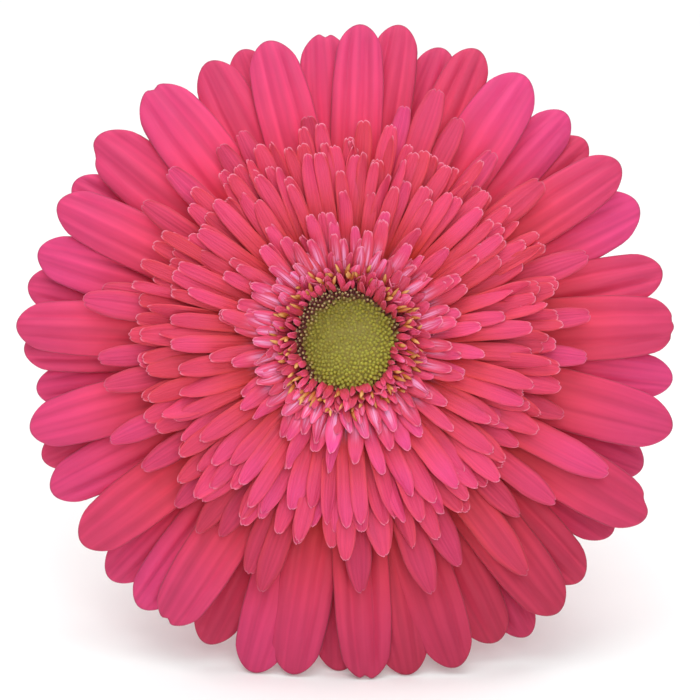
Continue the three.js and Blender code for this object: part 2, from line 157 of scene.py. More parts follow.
# The head's flesh and the green parts
FLESH_PROFILE = [
    (11.0, -5.7), (11.5, -4.6), (11.3, -2.5), (11.2, 0.6),
    (10.6, 2.6), (10.0, 4.2), (8.9, 4.9),
]
CUP_PROFILE = [(3.4, -21), (5.0, -18.8), (8.6, -14.5), (11.1, -10.2), (12.0, -6.0)]
BRACT_ROWS = [
    dict(count=10, root=3.0, root_z=-21.0, reach=8.6, tip_z=-15.9, width=3.5),
    dict(count=13, root=5.2, root_z=-18.6, reach=12.6, tip_z=-11.2, width=4.3),
    dict(count=16, root=7.6, root_z=-15.4, reach=14.0, tip_z=-8.6, width=4.4),
    dict(count=21, root=9.9, root_z=-11.8, reach=15.0, tip_z=-6.6, width=4.0),
]
HAIR_RADIUS, HAIR_LENGTH, HAIR_SUNK = 0.035, 0.9, 0.15
STEM_HAIRS, BRACT_HAIRS = 3200, 26
HAIR_FREE_HEIGHT = 1.6  # hairs start this far above the table
STEM = dict(neck=2.7, flare=0.6, foot=3.3, sides=12, bend=260, lying=80, cut=30, drift=-7)
STEM_FADE = 2.2  # how soon the flare at the stem's top fades
STEM_SIDES, STEM_RIBS, RIB_DEPTH = 88, 11, 0.045
# The cut face from its rim to the middle of the pith: share of the radius, and how far it sinks
CUT_FACE = [(0.93, 0.05), (0.8, 0.15), (0.62, 0.22), (0.42, 0.3), (0.3, 0.5), (0.24, 3.0), (0.05, 3.4)]

# Where the head is, from the stem's top ring, which stands square behind it
SIN, COS = sin(radians(FACE_TILT)), cos(radians(FACE_TILT))
APOTHEM = cos(pi / STEM["sides"])
TOP_RADIUS = (STEM["neck"] + STEM["flare"]) * APOTHEM * MM
STEM_LOW, STEM_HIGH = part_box("stem")
HEAD = Vector((
    STEM_HIGH[0] - TOP_RADIUS,
    STEM_LOW[1] + TOP_RADIUS * SIN - (SEAT_GAP - CUP_LOW) * MM * COS,
    HEAD_HEIGHT * MM,
))
HEAD_MATRIX = Matrix.Translation(HEAD) @ Matrix.Rotation(radians(90 - FACE_TILT), 4, "X")


def to_world(points):
    """Head points in millimetres, as points of the row frame in metres."""
    turn = np.array(HEAD_MATRIX.to_3x3())
    return points * MM @ turn.T + np.array(HEAD)


# Meshes

UP = np.array([0, 0, 1.0])  # out of the bloom, towards the viewer


def new_object(name, data):
    """An object in the scene that holds a mesh, a light or a camera."""
    held = bpy.data.objects.new(name, data)
    bpy.context.scene.collection.objects.link(held)
    return held


class Sheaf:
    """Gathers many closed forms into one mesh, with a few marks at each point that the
    materials read."""

    def __init__(self, *marks):
        self.points, self.faces, self.count = [], [], 0
        self.marks = {mark: [] for mark in marks}

    def add(self, points, faces, **marks):
        self.points.append(points)
        self.faces.extend([[i + self.count for i in face] for face in faces])
        self.count += len(points)
        for mark, held in self.marks.items():
            held.append(np.broadcast_to(np.asarray(marks[mark], dtype=float), len(points)))

    def make(self, name, material, slot, node, to_metres=to_world):
        """One piece of it all, which rides on the flower's one body and stands for this node."""
        points = to_metres(np.concatenate(self.points))
        mesh = bpy.data.meshes.new(name)
        mesh.from_pydata(points.tolist(), [], self.faces)
        mesh.polygons.foreach_set("use_smooth", [True] * len(mesh.polygons))
        for mark, held in self.marks.items():
            values = np.concatenate(held).astype(np.float32)
            mesh.attributes.new(mark, "FLOAT", "POINT").data.foreach_set("value", values)
        mesh.materials.append(material)
        piece = new_object(name, mesh)
        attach(piece, "root")
        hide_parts(node)


def out_and_side(angle):
    """The directions outwards and clockwise at a clock angle, in the bloom's plane."""
    a = radians(angle)
    return np.array([sin(a), cos(a), 0.0]), np.array([cos(a), -sin(a), 0.0])


def smooth(x, low, high):
    """0 below low, 1 above high, and a smooth step between."""
    t = np.clip((x - low) / (high - low), 0, 1)
    return t * t * (3 - 2 * t)


def grid_faces(rows, cols):
    """Quads of a grid of points, all turned the same way."""
    return [
        (i * cols + j, i * cols + j + 1, (i + 1) * cols + j + 1, (i + 1) * cols + j)
        for i in range(rows - 1)
        for j in range(cols - 1)
    ]


def sheet_normals(sheet):
    """The direction square to a sheet at each of its points."""
    normal = np.cross(np.gradient(sheet, axis=1), np.gradient(sheet, axis=0))
    return normal / (np.linalg.norm(normal, axis=2, keepdims=True) + 1e-12)


def shell(sheet, half):
    """A closed thin form round a sheet: its two faces stand `half` off it and meet at the rim.
    Returns its points, its faces, and for each point its place in the sheet and its side."""
    rows, cols = half.shape
    normal = sheet_normals(sheet)
    inside = np.zeros((rows, cols), dtype=bool)
    inside[1:-1, 1:-1] = True
    lift = np.where(inside, half, 0)[..., None] * normal
    under_of = np.arange(rows * cols).reshape(rows, cols)
    under_of[inside] = rows * cols + np.arange(inside.sum())
    points = np.concatenate([(sheet + lift).reshape(-1, 3), (sheet - lift)[inside]])
    upper = grid_faces(rows, cols)
    flat = under_of.ravel()
    lower = [tuple(flat[k] for k in reversed(face)) for face in upper]
    place = np.concatenate([np.arange(rows * cols), np.flatnonzero(inside.ravel())])
    side = np.concatenate([np.where(inside.ravel(), 0.0, 0.5), np.ones(inside.sum())])
    return points, upper + lower, place, side


# Petals

PETAL_MARKS = ("along", "across", "edge", "to_tip", "from_root", "under", "tone", "inner", "lower")


def petal_width(petal, t, to_tip):
    """Half width at share t of a petal's length, `to_tip` millimetres before its end."""
    toward_widest = np.sin(np.minimum(t / petal["widest"], 1) * pi / 2)
    swell = petal["foot"] + (1 - petal["foot"]) * toward_widest
    closing = np.clip(1 - to_tip / petal["taper"], 0, 1) ** petal["closing"]
    return petal["width"] / 2 * swell * (1 - petal["narrow"] * closing)


def petal_sheet(petal, rows, cols):
    """The middle sheet of a petal as a grid of head points, and the marks at each point: the
    share along and across it, and the distance to its rim, tip and root. r is how far out a
    point lies, t its share of the length, and v its place across, from -1 to 1."""
    s = np.linspace(0, 1, rows)[:, None]
    u = 1 - (1 - s) ** petal["crowding"]
    v = np.sin(np.linspace(-1, 1, cols)[None, :] * pi / 2)
    v = 0.55 * v + 0.45 * np.linspace(-1, 1, cols)[None, :]
    root, reach = petal["root"], petal["reach"]
    length = reach - root
    end = reach - petal["tip"] * (1 - np.sqrt(1 - 0.9995 * v**2))
    for at, depth, width in petal["notches"]:
        end = end - depth * np.exp(-(((v - at) / width) ** 2))
    r = root + (end - root) * u
    t = (r - root) / length
    to_tip = reach - r
    half_width = petal_width(petal, t, to_tip)
    fall = petal["tip_z"] - petal["root_z"]
    height = petal["root_z"] + fall * t + 4 * petal["arch"] * t * (1 - t)
    hook = petal["hook"] * np.clip(1 - to_tip / petal["hook_length"], 0, 1) ** 2
    tilt = np.arctan((fall + 4 * petal["arch"] * (1 - 2 * t)) / length)
    rise = petal["cup"] * v**2 * smooth(t, 0, 0.3)
    grooved = smooth(t, 0.05, 0.4) * smooth(to_tip, 0, petal["groove_end"])
    for at, depth, width in petal["creases"]:
        rise = rise - depth * np.exp(-(((v - at) / width) ** 2)) * grooved
    rise = rise + petal["wave"] * np.sin(7 * t + petal["phase"] + 1.5 * v) * v * t
    rise = rise + petal["hood"] * v**2 * (1 - smooth(to_tip, 0.2, petal["hood_length"]))
    twist = np.radians(petal["roll"] + petal["twist"] * t**2)
    sideways = v * half_width * np.cos(twist) - rise * np.sin(twist) + petal["sway"] * t**2
    above = rise * np.cos(twist) + v * half_width * np.sin(twist)
    out, side = out_and_side(petal["angle"])
    sheet = (
        out * (r - above * np.sin(tilt) - 0.3 * abs(hook))[..., None]
        + side * (sideways + 0 * r)[..., None]
        + UP * (height + above * np.cos(tilt) + hook)[..., None]
    )
    edge = np.minimum((1 - abs(v)) * half_width, end - r)
    everywhere = np.zeros_like(r)
    marks = dict(along=t + everywhere, across=v + everywhere, edge=edge, to_tip=to_tip)
    return sheet, dict(marks, from_root=r - root)


def add_petal(sheaf, petal, rows, cols, inner):
    """Adds a petal, which thins out to nothing at its rim. Its mark "lower" runs from -1 at the top
    of the bloom to 1 at the bottom; for the rays it is turned so that 1 falls where their painted
    shade is deepest. The material paints shade and light by it."""
    sheet, marks = petal_sheet(petal, rows, cols)
    half = petal["thick"] / 2 * np.sqrt(np.clip(marks["edge"] / (2 * petal["thick"]), 0, 1))
    points, faces, place, side = shell(sheet, half)
    marks = {mark: values.ravel()[place] for mark, values in marks.items()}
    lower = cos(radians(petal["angle"] - (180 if inner else SHADIEST_RAY)))
    sheaf.add(points, faces, under=side, tone=petal["tone"], inner=inner, lower=lower, **marks)


def press_to_table(petal, rows, cols):
    """Bends a ray's tip forward, and then shortens it, until it rests on the table."""
    most = petal["tip_z"] + RAY_PRESS
    down = -cos(radians(petal["angle"]))
    for _ in range(PRESS_TRIES):
        sheet = petal_sheet(petal, rows, cols)[0]
        height = HEAD_HEIGHT + sheet[..., 1] * COS + sheet[..., 2] * SIN
        under = petal["thick"] / 2 - height.min()
        if under < TOUCHING:
            break
        if petal["tip_z"] < most:
            petal["tip_z"] = min(petal["tip_z"] + under / SIN, most)
        else:
            petal["reach"] -= under / (COS * down)


# What rays and bracts share: no hood at the tip, no notches, and a straight blade
PLAIN_PETAL = dict(hood=0.0, hood_length=1.0, notches=[], roll=0, sway=0)
# The end of a ray: how long its rounding is, and its dents: where across, how deep, how wide
TIPS = {
    "round": (1.0, []),
    "notched": (0.95, [(0.1, 0.8, 0.18)]),
    "shouldered": (1.0, [(-0.6, 0.9, 0.2)]),
    "blunt": (0.72, [(-0.15, 0.4, 0.16), (0.4, 0.35, 0.14)]),
}


def make_rays(material):
    """The outer ray florets, a piece for each layer. Each is a broad strap with two or three
    lengthwise creases."""
    rng = np.random.default_rng(SEED)
    sheaves = [Sheaf(*PETAL_MARKS) for _ in RAY_LAYERS]
    for angle, reach, width, layer, *ending in RAYS:
        _, root_z, tip_z, arch = RAY_LAYERS[layer]
        spread = rng.uniform(-1, 1, 12)
        creases = [
            (-0.38 + 0.1 * spread[0], 0.62 + 0.16 * spread[1], 0.17),
            (0.34 + 0.1 * spread[2], 0.62 + 0.16 * spread[3], 0.17),
            (0.9 * spread[4], 0.32 + 0.14 * spread[5], 0.13),
        ]
        rounding, notches = TIPS[ending[0] if ending else "round"]
        petal = dict(
            PLAIN_PETAL, angle=angle, root=RAY_ROOT, reach=reach + RAY_LONGER[layer],
            width=RAY_WIDER * width, root_z=root_z, tip_z=tip_z + 0.5 * spread[6], arch=arch,
            foot=0.4, widest=0.64, narrow=0.26, taper=12.0, closing=1.5, crowding=1.5,
            tip=RAY_TIP * rounding * width / MIDDLING, notches=notches, creases=creases,
            groove_end=5.0, cup=-0.75 - 0.3 * spread[7], hook=0.6 * spread[8] - 0.8,
            hook_length=9.0, wave=0.3, phase=3 * spread[9], twist=5 * spread[10], thick=0.5,
            tone=0.5 + 0.5 * spread[11],
        )
        press_to_table(petal, *RAY_GRID)
        add_petal(sheaves[layer], petal, *RAY_GRID, RAY_INNER)
    for sheaf, (name, *_) in zip(sheaves, RAY_LAYERS):
        sheaf.make(name, material, "ray_petal", "ray_florets")


def ligule(rng, **given):
    """An inner ligule: narrower than a ray, with two grooves that end in the dents between the
    three teeth of its tip. Above the eye the tip is broader and its teeth are longer."""
    spread = rng.uniform(-1, 1, 12)
    width = given["width"]
    length = given["reach"] - given["root"]
    above = 0.5 + 0.5 * cos(radians(given["angle"]))
    dents = (-0.3 + 0.2 * spread[1], 0.34 + 0.2 * spread[11])
    teeth = (0.3 + 0.2 * above) * width / 4.2
    petal = dict(
        foot=0.46, widest=0.5, narrow=0.7 - 0.22 * smooth(above, 0.1, 0.7) + 0.07 * spread[0],
        taper=min(1.35 * width, 0.5 * length), closing=1.7, crowding=1.7,
        tip=(0.3 - 0.06 * above) * width,
        notches=[(dents[0], teeth, 0.15), (dents[1], teeth * max(0, spread[8]), 0.15)],
        creases=[(dents[0], 0.11 - 0.05 * above, 0.15), (dents[1], 0.11 - 0.05 * above, 0.15)],
        groove_end=1.0, cup=-0.08 - (0.16 - 0.08 * above) * spread[2],
        hook=0.3 + 0.45 * spread[3], hook_length=3.2, hood=0.35 + 0.25 * spread[10],
        hood_length=2.6, wave=0.25, phase=3 * spread[4], roll=8 - 3 * above + 5 * spread[9],
        twist=(14 if abs(spread[5]) < 0.82 else 60) * spread[5], sway=1.2 * spread[6],
        thick=0.4, tone=0.5 + 0.5 * spread[7],
    )
    petal.update(given)
    return petal


def make_ligules(material):
    """The long ligules one by one, and the others in whorls. Above the eye those are narrower
    and their tips stand up, with small ones between them."""
    rng = np.random.default_rng(SEED + 1)
    sheaves = {}
    long = sheaves.setdefault("ligules_long", Sheaf(*PETAL_MARKS))
    for angle, reach, width in LONG_LIGULES:
        shape = dict(LONG_LIGULE, angle=angle, reach=reach, width=width)
        shape["tip_z"] += 0.5 * rng.uniform(-1, 1)
        add_petal(long, ligule(rng, sway=0, twist=0, **shape), *LONG_GRID, LONG_INNER)
    for ring, (name, count, least, most, root, root_z, tip_z, arch, width) in enumerate(WHORLS):
        sheaf = sheaves.setdefault(name, Sheaf(*PETAL_MARKS))
        for i in range(count):
            angle = (i + 0.5 * (ring % 2) + 0.34 * rng.uniform(-1, 1)) * 360 / count
            above_eye = max(0, cos(radians(angle)))
            petal = ligule(
                rng, angle=angle, reach=rng.uniform(least, most), root=root, root_z=root_z, arch=arch,
                tip_z=tip_z + (0.8 - 0.4 * above_eye) * rng.uniform(-1, 1) + 0.3 * above_eye,
                width=width * (1 + 0.18 * rng.uniform(-1, 1)) * (1 - 0.22 * above_eye),
            )
            add_petal(sheaf, petal, *WHORL_GRID, WHORL_INNER + WHORL_STEP * ring)
    small = sheaves.setdefault("ligules_small", Sheaf(*PETAL_MARKS))
    for ring, (count, least, most, tip_z) in enumerate(FILLING):
        for i in range(count):
            petal = ligule(
                rng, angle=FILLING_SWING * (2 * (i + rng.uniform()) / count - 1),
                reach=rng.uniform(least, most), root=10.0, root_z=2.0 + ring, arch=2.4,
                tip_z=tip_z + 0.9 * rng.uniform(-1, 1), width=rng.uniform(1.9, 2.9),
            )
            add_petal(small, petal, *SMALL_GRID, WHORL_INNER + WHORL_STEP * ring)
    for name, sheaf in sheaves.items():
        sheaf.make(name, material, "inner_petal", "inner_ligules")


# The middle of the bloom


def lathe(profile, sides):
    """A closed turned form about the head's axis, from a profile of (radius, height) that
    runs upwards."""
    rings = len(profile)
    turn = np.linspace(0, 2 * pi, sides, endpoint=False)
    points = np.array([[r * cos(a), r * sin(a), z] for r, z in profile for a in turn])
    faces = []
    for low in range(0, (rings - 1) * sides, sides):
        for k in range(sides):
            after = (k + 1) % sides
            faces.append((low + k, low + after, low + sides + after, low + sides + k))
    faces.append(tuple(reversed(range(sides))))
    faces.append(tuple((rings - 1) * sides + k for k in range(sides)))
    return points, faces


def frame_about(axis):
    """Two unit vectors square to an axis, and the axis as one."""
    axis = axis / np.linalg.norm(axis)
    helper = UP if abs(axis[2]) < 0.9 else np.array([1.0, 0, 0])
    first = np.cross(helper, axis)
    first /= np.linalg.norm(first)
    return first, np.cross(axis, first), axis


def tube(line, radii, sides):
    """A closed tube along a line of points, with a radius at each. Returns its points, its
    faces, and each point's share of the way along."""
    line = np.asarray(line, dtype=float)
    points = []
    first, _, _ = frame_about(line[1] - line[0])
    for i, (centre, radius) in enumerate(zip(line, radii)):
        run = line[min(i + 1, len(line) - 1)] - line[max(i - 1, 0)]
        run /= np.linalg.norm(run)
        first = first - run * first.dot(run)
        first /= np.linalg.norm(first)
        second = np.cross(run, first)
        for k in range(sides):
            a = 2 * pi * k / sides
            points.append(centre + radius * (cos(a) * first + sin(a) * second))
    _, faces = lathe([(1, i) for i in range(len(line))], sides)
    share = np.repeat(np.linspace(0, 1, len(line)), sides)
    return np.array(points), faces, share


def dome_height(r):
    """Height of the eye's dome at a radius."""
    return EYE["rim"] + EYE["rise"] * (1 - (r / EYE["radius"]) ** 2)


def add_bud(sheaf, centre, axis, radius, height, age, tone):
    """Adds a bud. Its age says how ripe it is: green up to 0.82, and from 0.96
    dark with a pale tip."""
    first, second, axis = frame_about(axis)
    points, faces = lathe(BUD_PROFILE, BUD_SIDES)
    local = points * np.array([radius, radius, height])
    placed = centre + local[:, :1] * first + local[:, 1:2] * second + local[:, 2:] * axis
    sheaf.add(placed, faces, top=points[:, 2] / BUD_PROFILE[-1][1], age=age, tone=tone)


def make_eye(material):
    """Closed buds in the two families of spirals that the golden angle gives, on a dome."""
    rng = np.random.default_rng(SEED + 2)
    buds = Sheaf("top", "age", "tone")
    edge = EYE["radius"] + 0.4
    for n in range(BUD["count"]):
        share = sqrt((n + 0.5) / BUD["count"])
        r = edge * share
        turn = radians(n * GOLDEN_ANGLE)
        centre = np.array([r * cos(turn), r * sin(turn), dome_height(r) - BUD["sunk"]])
        slope = 2 * EYE["rise"] * r / EYE["radius"] ** 2
        centre += rng.normal(0, BUD_SHIFT, 3) * np.array([1, 1, 0.5])
        lean = slope + BUD["lean"] * share**4
        axis = np.array([lean * cos(turn), lean * sin(turn), 1.0])
        axis += rng.normal(0, BUD_TILT, 3)
        radius = BUD["radius"] + 0.03 * rng.uniform(-1, 1)
        height = BUD["height"] + BUD["taller"] * share**3 + 0.08 * rng.uniform(-1, 1)
        # Painted shade towards the upper left: the buds there are darker green and turn dark and ripe
        # nearer the middle
        darker = cos(turn - radians(SHADED_EYE_SIDE))
        age = share + 0.01 + 0.05 * rng.uniform(-1, 1) + 0.1 * darker
        tone = 0.28 * rng.uniform() + 0.72 * (0.5 - 0.5 * share * darker)
        add_bud(buds, centre, axis, radius, height, age, tone)
    buds.make("eye_buds", material, "eye_bud", "disc_eye")
    dome = Sheaf("top", "age", "tone")
    radii = np.linspace(EYE["radius"] + 0.6, 0.05, 14)
    profile = [(radii[0], EYE["low"] - 0.2)] + [(r, dome_height(r) - 0.1) for r in radii]
    points, faces = lathe(profile, DOME_SIDES)
    age = np.hypot(points[:, 0], points[:, 1]) / edge
    dome.add(points, faces, top=0.4, age=age, tone=0.2)
    dome.make("eye_dome", material, "eye_bud", "disc_eye")


def standing_back(angle):
    """How far the lips stand back from the eye at this clock angle."""
    back = -LIPS_CLOSE_IN
    for at, spread, far in LIP_GAPS:
        off = (angle - at + 180) % 360 - 180
        back += far * exp(-((off / spread) ** 2))
    return back


def make_dark_buds(material):
    """Ripe buds, dark with pale tips, in the ring between the eye and the lips."""
    rng = np.random.default_rng(SEED + 3)
    dark = Sheaf("top", "age", "tone")
    least, wide, high = DARK_BUD["foot"]
    for i in range(DARK_BUD["count"]):
        turn = radians((i + 0.3 * rng.uniform(-1, 1)) * 360 / DARK_BUD["count"])
        r = least + wide * (i % 3) / 2 + 0.15 * rng.uniform(-1, 1)
        out = np.array([cos(turn), sin(turn), 0])
        centre = out * r + UP * high
        axis = UP + out * (0.25 + 0.2 * rng.uniform())
        height = DARK_BUD["height"] + 0.25 * rng.uniform()
        add_bud(dark, centre, axis, DARK_BUD["radius"], height, DARK_BUD["ripe"], rng.uniform())
    dark.make("dark_buds", material, "disc_floret", "open_disc_florets")


def make_lips(material):
    """Short toothed lips of the open florets, each cupped and turned its own way."""
    rng = np.random.default_rng(SEED + 6)
    lips = Sheaf(*PETAL_MARKS)
    for count, least, most, root, root_z, tip_z, width in LIPS:
        for i in range(count):
            angle = (i + 0.38 * rng.uniform(-1, 1)) * 360 / count
            back = standing_back(angle) + 0.3 * rng.uniform(-1, 1)
            petal = ligule(
                rng, angle=angle, reach=rng.uniform(least, most) + back, root=root + back,
                root_z=root_z, tip_z=tip_z + 0.9 * rng.uniform(-1, 1), arch=0.7,
                width=width * (1 + 0.3 * rng.uniform(-1, 1)), sway=0.9 * rng.uniform(-1, 1),
                twist=30 * rng.uniform(-1, 1), hook=0.7 * rng.uniform(-1, 1), hook_length=2.0,
                cup=-0.35 * rng.uniform(-0.3, 1), thick=0.32,
            )
            add_petal(lips, petal, *LIP_GRID, LIP_INNER)
    lips.make("floret_lips", material, "inner_petal", "open_disc_florets")


def round_the_eye(rng, part, uneven):
    """Uneven places round the eye: clock angle, and directions outwards and clockwise."""
    for i in range(part["count"]):
        angle = (i + uneven * rng.uniform(-1, 1)) * 360 / part["count"]
        yield angle, *out_and_side(angle)


def make_anthers(material):
    """Golden anther columns that stand up among the lips and lean outwards."""
    rng = np.random.default_rng(SEED + 7)
    anthers = Sheaf("along", "tone")
    steps = np.linspace(0, 1, len(ANTHER_SHAPE))
    least, wide, high = ANTHER["foot"]
    for angle, out, side in round_the_eye(rng, ANTHER, 0.9):
        start_r = least + wide * rng.uniform() + 0.6 * standing_back(angle)
        length, lean = ANTHER["length"] + 0.9 * rng.uniform(-1, 1), rng.uniform(*ANTHER["lean"])
        sway = 0.9 * rng.uniform(-1, 1)
        line = []
        for s in steps:
            bend = radians(lean) * (0.6 + 0.5 * s)
            rise = UP * (high + length * s * cos(bend))
            line.append(out * (start_r + length * s * sin(bend)) + side * sway * s * s + rise)
        thick = ANTHER["thick"] + 0.05 * rng.uniform(-1, 1)
        points, faces, share = tube(line, [thick * part for part in ANTHER_SHAPE], ANTHER_SIDES)
        anthers.add(points, faces, along=share, tone=rng.uniform())
    anthers.make("anthers", material, "disc_floret", "open_disc_florets")


def make_curls(material):
    """The thin second lips of the open florets, rolled back in small curls."""
    rng = np.random.default_rng(SEED + 8)
    curls = Sheaf(*PETAL_MARKS)
    steps = np.linspace(0, 1, 10)
    least, wide, high = CURL["foot"]
    for angle, out, side in round_the_eye(rng, CURL, 0.8):
        start_r = least + wide * rng.uniform() + 0.6 * standing_back(angle)
        start = out * start_r + UP * (high + 0.8 * rng.uniform())
        size = CURL["size"] + 0.25 * rng.uniform(-1, 1)
        turn, way = rng.uniform(*CURL["turn"]), rng.choice((-1, 1))
        line = []
        for s in steps:
            bend = radians(turn * s)
            rise = UP * (1.2 * s + size * sin(bend))
            line.append(start + way * side * size * (1 - cos(bend)) + out * 1.2 * s + rise)
        points, faces, share = tube(line, CURL["thick"] * (1 - 0.6 * steps), CURL_SIDES)
        look = dict.fromkeys(PETAL_MARKS, 0)
        look.update(along=0.9, edge=0.02, to_tip=1.2 * (1 - share), inner=CURL_INNER)
        look["tone"] = rng.uniform()
        curls.add(points, faces, **look)
    curls.make("floret_curls", material, "inner_petal", "open_disc_florets")


# Green parts


def add_hair(sheaf, foot, outward, rng):
    """A fine hair: a thin three-sided spike that leans its own way."""
    lean = outward / np.linalg.norm(outward) + rng.normal(0, 0.35, 3)
    first, second, axis = frame_about(lean)
    foot = foot - HAIR_SUNK * axis
    ring = [foot + HAIR_RADIUS * (cos(a) * first + sin(a) * second) for a in (0, 2.1, 4.2)]
    tip = foot + axis * (HAIR_SUNK + HAIR_LENGTH * rng.uniform(0.5, 1.3))
    faces = [(0, 2, 1), (0, 1, 3), (1, 2, 3), (2, 0, 3)]
    sheaf.add(np.array(ring + [tip]), faces, tone=rng.uniform())


def make_turned(name, profile, material, node):
    """A plain turned piece of the head."""
    piece = Sheaf()
    piece.add(*lathe(profile, HEAD_SIDES))
    piece.make(name, material, "bract", node)


def make_involucre(bract_material, cup_material, hair_material):
    """The green cup under the bloom, with four rows of overlapping pointed hairy bracts."""
    radii, heights = np.array(CUP_PROFILE, dtype=float).T
    corners = np.arange(len(CUP_PROFILE))
    steps = np.linspace(0, corners[-1], 25)
    profile = np.stack([np.interp(steps, corners, radii), np.interp(steps, corners, heights)], axis=1)
    make_turned("involucre_cup", profile, cup_material, "involucre")

    rng = np.random.default_rng(SEED + 4)
    bracts, hairs = Sheaf(*PETAL_MARKS), Sheaf("tone")
    for rank, row in enumerate(BRACT_ROWS):
        for i in range(row["count"]):
            spread = rng.uniform(-1, 1, 6)
            petal = dict(
                PLAIN_PETAL, angle=(i + rank / 2 + 0.15 * spread[0]) * 360 / row["count"],
                root=row["root"], reach=row["reach"] + 0.5 * spread[1], root_z=row["root_z"],
                tip_z=row["tip_z"] + 0.3 * spread[2], arch=-0.4, width=row["width"], foot=0.62,
                widest=0.35, narrow=0.94, taper=7.5, closing=2.1, crowding=1.2, tip=0.4,
                creases=[(0.0, -0.22, 0.2)], groove_end=2.0, cup=0.55,
                hook=0.25 * spread[3] - 0.1, hook_length=2.5, wave=0.1, phase=3 * spread[4],
                twist=4 * spread[5], thick=0.75, tone=0.5 + 0.5 * spread[5],
            )
            add_petal(bracts, petal, *BRACT_GRID, RAY_INNER)
            sheet = petal_sheet(petal, *BRACT_GRID)[0]
            outward = -sheet_normals(sheet)
            along = rng.integers(2, BRACT_GRID[0] - 1, BRACT_HAIRS)
            across = rng.integers(1, BRACT_GRID[1] - 1, BRACT_HAIRS)
            for place in zip(along, across):
                add_hair(hairs, sheet[place] + outward[place] * petal["thick"] / 2, outward[place], rng)
    bracts.make("bracts", bract_material, "bract", "involucre")
    hairs.make("bract_hairs", hair_material, "bract", "involucre")


# Stem


def beside_head(points):
    """Points in millimetres from the spot under the head's middle, in metres of the row frame."""
    return points * MM + np.array([HEAD[0], HEAD[1], 0])


def stem_stations():
    """The stem's line, from just inside the cup to the cut: centre in millimetres from under the
    head's middle, slope, radius, and share of the length. It repeats the frame's own: straight
    back from the head, a bend, then level on the table, with a sideways drift."""
    start_y = COS * (SEAT_GAP - CUP_LOW)
    start_z = HEAD_HEIGHT - SIN * (SEAT_GAP - CUP_LOW)
    level = STEM["foot"] * APOTHEM
    straight = (start_z - level - STEM["bend"] * (1 - COS)) / SIN
    bend_length = STEM["bend"] * radians(FACE_TILT)
    total = straight + bend_length + STEM["lying"]
    bend_y = start_y + COS * straight
    level_y = bend_y + STEM["bend"] * SIN
    end_y = level_y + STEM["lying"]
    stations = []
    for s in np.concatenate([[-0.8, 0, 0.6, 1.6, 3], np.linspace(5, total, 120)]):
        if s <= straight:
            y, z, slope = start_y + COS * s, start_z - SIN * s, radians(FACE_TILT)
        elif s <= straight + bend_length:
            slope = radians(FACE_TILT) - (s - straight) / STEM["bend"]
            y = bend_y + STEM["bend"] * (SIN - sin(slope))
            z = level + STEM["bend"] * (1 - cos(slope))
        else:
            y, z, slope = level_y + s - straight - bend_length, level, 0.0
        x = STEM["drift"] * (1 - cos(pi * (y - start_y) / (end_y - start_y))) / 2
        radius = np.interp(s / straight, [0, 1], [STEM["neck"], STEM["foot"]])
        radius += STEM["flare"] * exp(-max(s, 0) / STEM_FADE)
        stations.append((np.array([x, y, z]), slope, radius * APOTHEM, max(s, 0) / total))
    return stations


def make_stem(material, hair_material):
    """A ribbed hairy stem with a slanted cut, whose face shows the pith and its bundles."""
    rng = np.random.default_rng(SEED + 5)
    phase = rng.uniform(0, 6, 3)
    shear = tan(radians(STEM["cut"]))
    turn = np.linspace(0, 2 * pi, STEM_SIDES, endpoint=False)
    same = np.ones(STEM_SIDES)
    rings, looks = [], []
    for centre, slope, radius, share in stem_stations():
        lean = shear * smooth(np.array(share), 0.94, 1.0)
        groove = 0.5 + 0.5 * np.cos(STEM_RIBS * turn + 1.2 * sin(5 * share + phase[0]))
        swell = 1 + 0.012 * sin(23 * share + phase[1]) + 0.01 * sin(51 * share + phase[2])
        around = radius * (1 - RIB_DEPTH * groove) * min(swell, 1.0)
        rise = around * np.cos(turn)
        x = centre[0] + around * np.sin(turn)
        y = centre[1] + rise * (sin(slope) - lean)
        z = centre[2] + rise * cos(slope)
        rings.append(np.stack([x, y, z], axis=1))
        looks.append((share * same, same, groove, 0 * same))
    skin_rings = len(rings)
    middle = rings[-1].mean(axis=0)
    for inward, sink in CUT_FACE:
        ring = middle + (rings[skin_rings - 1] - middle) * inward
        ring[:, 1] -= sink
        rings.append(ring)
        looks.append((same, inward * same, 0 * same, same))
    points = np.concatenate(rings)
    points[:, 2] = np.maximum(points[:, 2], 0.0)
    _, faces = lathe([(1, i) for i in range(len(rings))], STEM_SIDES)
    marks = ("along", "core", "groove", "cut")
    skin = Sheaf(*marks)
    skin.add(points, faces, **dict(zip(marks, np.concatenate(looks, axis=1))))
    skin.make("stem_skin", material, "stem", "stem", beside_head)

    hairs = Sheaf("tone")
    while hairs.count < 4 * STEM_HAIRS:
        ring, k, part = rng.integers(2, skin_rings - 4), rng.integers(STEM_SIDES), rng.uniform()
        foot = rings[ring][k] * (1 - part) + rings[ring + 1][k] * part
        if foot[2] > HAIR_FREE_HEIGHT:
            add_hair(hairs, foot, foot - rings[ring].mean(axis=0), rng)
    hairs.make("stem_hairs", hair_material, "stem", "stem", beside_head)


# Materials


